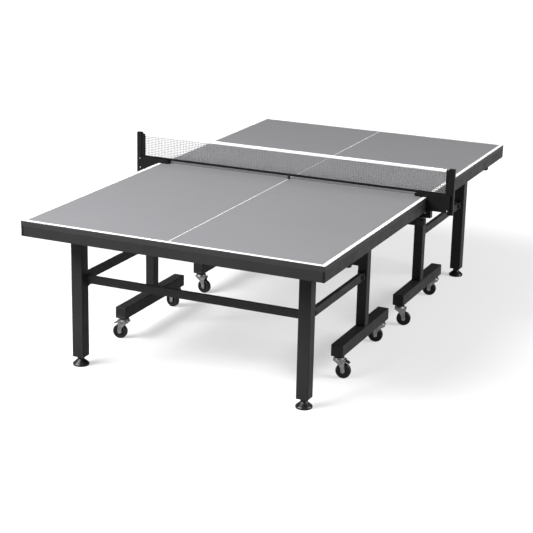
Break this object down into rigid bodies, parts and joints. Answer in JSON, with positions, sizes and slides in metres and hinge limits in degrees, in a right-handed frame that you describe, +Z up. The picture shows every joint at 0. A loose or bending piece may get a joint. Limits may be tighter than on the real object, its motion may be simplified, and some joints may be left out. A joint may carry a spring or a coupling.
{
  "type": "table tennis table",
  "caption": "Grey folding table-tennis table: halves with steel aprons on T-shaped caster trolleys, end legs with levelling feet, link tubes and a clamped black net with white tape.",
  "frame": {"origin": "on the floor, under the middle of the table and of its bounding box", "axes": "+X along the length from the near half to the far half, +Y across to the left, +Z up"},
  "size_m": [2.74, 1.8, 0.915],
  "materials": {
    "playing_surface": "matt grey lacquer on a wooden board, dark edges, white lines",
    "coated_steel": "dark grey powder coat",
    "black_steel": "black powder coat",
    "zinc_plate": "bright zinc plate",
    "wheel_rubber": "smooth black rubber",
    "foot_rubber": "glossy black moulding",
    "black_plastic": "black moulding",
    "net_cord": "black knotted cord",
    "white_tape": "white woven tape"
  },
  "bodies": {
    "near_trolley": {"near_left_stand": "coated_steel", "near_right_stand": "coated_steel", "near_cross_tube": "coated_steel", "near_stand_bolts": "black_steel"},
    "near_top": {"near_board": "playing_surface", "near_end_apron": "coated_steel", "near_left_apron": "coated_steel", "near_right_apron": "coated_steel", "near_hinge_plates": "black_steel", "left_net_post": "black_steel", "right_net_post": "black_steel", "net_mesh": "net_cord", "net_tape": "white_tape"},
    "near_legs": {"near_left_leg": "coated_steel", "near_right_leg": "coated_steel", "near_leg_rail": "coated_steel", "near_leg_bolts": "black_steel"},
    "near_links": {"near_left_link": "coated_steel", "near_right_link": "coated_steel"},
    "near_left_foot": {"near_left_foot": "foot_rubber"},
    "near_left_inner_fork": {"near_left_inner_fork": "zinc_plate"},
    "near_left_inner_wheel": {"near_left_inner_wheel": "wheel_rubber"},
    "near_left_outer_fork": {"near_left_outer_fork": "zinc_plate"},
    "near_left_outer_wheel": {"near_left_outer_wheel": "wheel_rubber"},
    "near_left_brake_pedal": {"near_left_brake_pedal": "black_plastic"},
    "near_right_foot": {"near_right_foot": "foot_rubber"},
    "near_right_inner_fork": {"near_right_inner_fork": "zinc_plate"},
    "near_right_inner_wheel": {"near_right_inner_wheel": "wheel_rubber"},
    "near_right_outer_fork": {"near_right_outer_fork": "zinc_plate"},
    "near_right_outer_wheel": {"near_right_outer_wheel": "wheel_rubber"},
    "near_right_brake_pedal": {"near_right_brake_pedal": "black_plastic"},
    "far_trolley": {"far_left_stand": "coated_steel", "far_right_stand": "coated_steel", "far_cross_tube": "coated_steel", "far_stand_bolts": "black_steel"},
    "far_top": {"far_board": "playing_surface", "far_end_apron": "coated_steel", "far_left_apron": "coated_steel", "far_right_apron": "coated_steel", "far_hinge_plates": "black_steel"},
    "far_legs": {"far_left_leg": "coated_steel", "far_right_leg": "coated_steel", "far_leg_rail": "coated_steel", "far_leg_bolts": "black_steel"},
    "far_links": {"far_left_link": "coated_steel", "far_right_link": "coated_steel"},
    "far_left_foot": {"far_left_foot": "foot_rubber"},
    "far_left_inner_fork": {"far_left_inner_fork": "zinc_plate"},
    "far_left_inner_wheel": {"far_left_inner_wheel": "wheel_rubber"},
    "far_left_outer_fork": {"far_left_outer_fork": "zinc_plate"},
    "far_left_outer_wheel": {"far_left_outer_wheel": "wheel_rubber"},
    "far_left_brake_pedal": {"far_left_brake_pedal": "black_plastic"},
    "far_right_foot": {"far_right_foot": "foot_rubber"},
    "far_right_inner_fork": {"far_right_inner_fork": "zinc_plate"},
    "far_right_inner_wheel": {"far_right_inner_wheel": "wheel_rubber"},
    "far_right_outer_fork": {"far_right_outer_fork": "zinc_plate"},
    "far_right_outer_wheel": {"far_right_outer_wheel": "wheel_rubber"},
    "far_right_brake_pedal": {"far_right_brake_pedal": "black_plastic"},
    "left_clamp_screw": {"left_clamp_screw": "black_plastic"},
    "right_clamp_screw": {"right_clamp_screw": "black_plastic"}
  },
  "joints": [
    {"name": "near_fold", "type": "hinge", "parent": "near_trolley", "child": "near_top", "pos_m": [-0.395, 0, 0.718], "axis": [0, 1, 0], "range_deg": [0, 90]},
    {"name": "near_leg_fold", "type": "hinge", "parent": "near_top", "child": "near_legs", "pos_m": [-1, 0, 0.718], "axis": [0, 1, 0], "range_deg": [-90, 0]},
    {"name": "near_link_swing", "type": "hinge", "parent": "near_trolley", "child": "near_links", "pos_m": [-0.47, 0, 0.437], "axis": [0, 1, 0], "range_deg": [0, 90]},
    {"name": "near_left_foot_screw", "type": "slide", "parent": "near_legs", "child": "near_left_foot", "axis": [0, 0, 1], "range_m": [-0.015, 0]},
    {"name": "near_left_inner_swivel", "type": "hinge", "parent": "near_trolley", "child": "near_left_inner_fork", "pos_m": [-0.15, 0.59, 0.106], "axis": [0, 0, 1], "continuous": true},
    {"name": "near_left_inner_roll", "type": "hinge", "parent": "near_left_inner_fork", "child": "near_left_inner_wheel", "pos_m": [-0.14618, 0.61167, 0.0375], "axis": [-0.9848, 0.1736, 0], "continuous": true},
    {"name": "near_left_outer_swivel", "type": "hinge", "parent": "near_trolley", "child": "near_left_outer_fork", "pos_m": [-0.715, 0.59, 0.106], "axis": [0, 0, 1], "continuous": true},
    {"name": "near_left_outer_roll", "type": "hinge", "parent": "near_left_outer_fork", "child": "near_left_outer_wheel", "pos_m": [-0.71882, 0.61167, 0.0375], "axis": [-0.9848, -0.1736, 0], "continuous": true},
    {"name": "near_left_brake", "type": "hinge", "parent": "near_left_outer_fork", "child": "near_left_brake_pedal", "pos_m": [-0.71639, 0.59788, 0.086], "axis": [-0.9848, -0.1736, 0], "range_deg": [0, 12]},
    {"name": "near_right_foot_screw", "type": "slide", "parent": "near_legs", "child": "near_right_foot", "axis": [0, 0, 1], "range_m": [-0.015, 0]},
    {"name": "near_right_inner_swivel", "type": "hinge", "parent": "near_trolley", "child": "near_right_inner_fork", "pos_m": [-0.15, -0.59, 0.106], "axis": [0, 0, 1], "continuous": true},
    {"name": "near_right_inner_roll", "type": "hinge", "parent": "near_right_inner_fork", "child": "near_right_inner_wheel", "pos_m": [-0.15457, -0.56848, 0.0375], "axis": [-0.9781, -0.2079, 0], "continuous": true},
    {"name": "near_right_outer_swivel", "type": "hinge", "parent": "near_trolley", "child": "near_right_outer_fork", "pos_m": [-0.715, -0.59, 0.106], "axis": [0, 0, 1], "continuous": true},
    {"name": "near_right_outer_roll", "type": "hinge", "parent": "near_right_outer_fork", "child": "near_right_outer_wheel", "pos_m": [-0.71194, -0.61179, 0.0375], "axis": [0.9903, 0.1392, 0], "continuous": true},
    {"name": "near_right_brake", "type": "hinge", "parent": "near_right_outer_fork", "child": "near_right_brake_pedal", "pos_m": [-0.71389, -0.59792, 0.086], "axis": [0.9903, 0.1392, 0], "range_deg": [0, 12]},
    {"name": "far_roll", "type": "slide", "parent": "near_trolley", "child": "far_trolley", "axis": [1, 0, 0], "range_m": [0, 0.21]},
    {"name": "far_fold", "type": "hinge", "parent": "far_trolley", "child": "far_top", "pos_m": [0.395, 0, 0.718], "axis": [0, -1, 0], "range_deg": [0, 90]},
    {"name": "far_leg_fold", "type": "hinge", "parent": "far_top", "child": "far_legs", "pos_m": [1, 0, 0.718], "axis": [0, -1, 0], "range_deg": [-90, 0]},
    {"name": "far_link_swing", "type": "hinge", "parent": "far_trolley", "child": "far_links", "pos_m": [0.47, 0, 0.437], "axis": [0, -1, 0], "range_deg": [0, 90]},
    {"name": "far_left_foot_screw", "type": "slide", "parent": "far_legs", "child": "far_left_foot", "axis": [0, 0, 1], "range_m": [-0.015, 0]},
    {"name": "far_left_inner_swivel", "type": "hinge", "parent": "far_trolley", "child": "far_left_inner_fork", "pos_m": [0.15, 0.59, 0.106], "axis": [0, 0, 1], "continuous": true},
    {"name": "far_left_inner_roll", "type": "hinge", "parent": "far_left_inner_fork", "child": "far_left_inner_wheel", "pos_m": [0.1477, 0.56812, 0.0375], "axis": [0.9945, -0.1045, 0], "continuous": true},
    {"name": "far_left_outer_swivel", "type": "hinge", "parent": "far_trolley", "child": "far_left_outer_fork", "pos_m": [0.715, 0.59, 0.106], "axis": [0, 0, 1], "continuous": true},
    {"name": "far_left_outer_roll", "type": "hinge", "parent": "far_left_outer_fork", "child": "far_left_outer_wheel", "pos_m": [0.71654, 0.61195, 0.0375], "axis": [-0.9976, 0.0698, 0], "continuous": true},
    {"name": "far_left_brake", "type": "hinge", "parent": "far_left_outer_fork", "child": "far_left_brake_pedal", "pos_m": [0.71556, 0.59798, 0.086], "axis": [-0.9976, 0.0698, 0], "range_deg": [0, 12]},
    {"name": "far_right_foot_screw", "type": "slide", "parent": "far_legs", "child": "far_right_foot", "axis": [0, 0, 1], "range_m": [-0.015, 0]},
    {"name": "far_right_inner_swivel", "type": "hinge", "parent": "far_trolley", "child": "far_right_inner_fork", "pos_m": [0.15, -0.59, 0.106], "axis": [0, 0, 1], "continuous": true},
    {"name": "far_right_inner_roll", "type": "hinge", "parent": "far_right_inner_fork", "child": "far_right_inner_wheel", "pos_m": [0.15532, -0.61135, 0.0375], "axis": [0.9703, 0.2419, 0], "continuous": true},
    {"name": "far_right_outer_swivel", "type": "hinge", "parent": "far_trolley", "child": "far_right_outer_fork", "pos_m": [0.715, -0.59, 0.106], "axis": [0, 0, 1], "continuous": true},
    {"name": "far_right_outer_roll", "type": "hinge", "parent": "far_right_outer_fork", "child": "far_right_outer_wheel", "pos_m": [0.71232, -0.56816, 0.0375], "axis": [-0.9925, -0.1219, 0], "continuous": true},
    {"name": "far_right_brake", "type": "hinge", "parent": "far_right_outer_fork", "child": "far_right_brake_pedal", "pos_m": [0.71403, -0.58206, 0.086], "axis": [-0.9925, -0.1219, 0], "range_deg": [0, 12]},
    {"name": "left_clamp", "type": "slide", "parent": "near_top", "child": "left_clamp_screw", "axis": [0, 0, 1], "range_m": [-0.012, 0]},
    {"name": "right_clamp", "type": "slide", "parent": "near_top", "child": "right_clamp_screw", "axis": [0, 0, 1], "range_m": [-0.012, 0]}
  ],
  "couplings": [
    {"joint": "near_leg_fold", "follows": "near_fold", "ratio": -1},
    {"joint": "near_link_swing", "follows": "near_fold", "ratio": 1},
    {"joint": "far_roll", "follows": "near_fold", "m_per_rad": 0.13},
    {"joint": "far_leg_fold", "follows": "far_fold", "ratio": -1},
    {"joint": "far_link_swing", "follows": "far_fold", "ratio": 1}
  ]
}
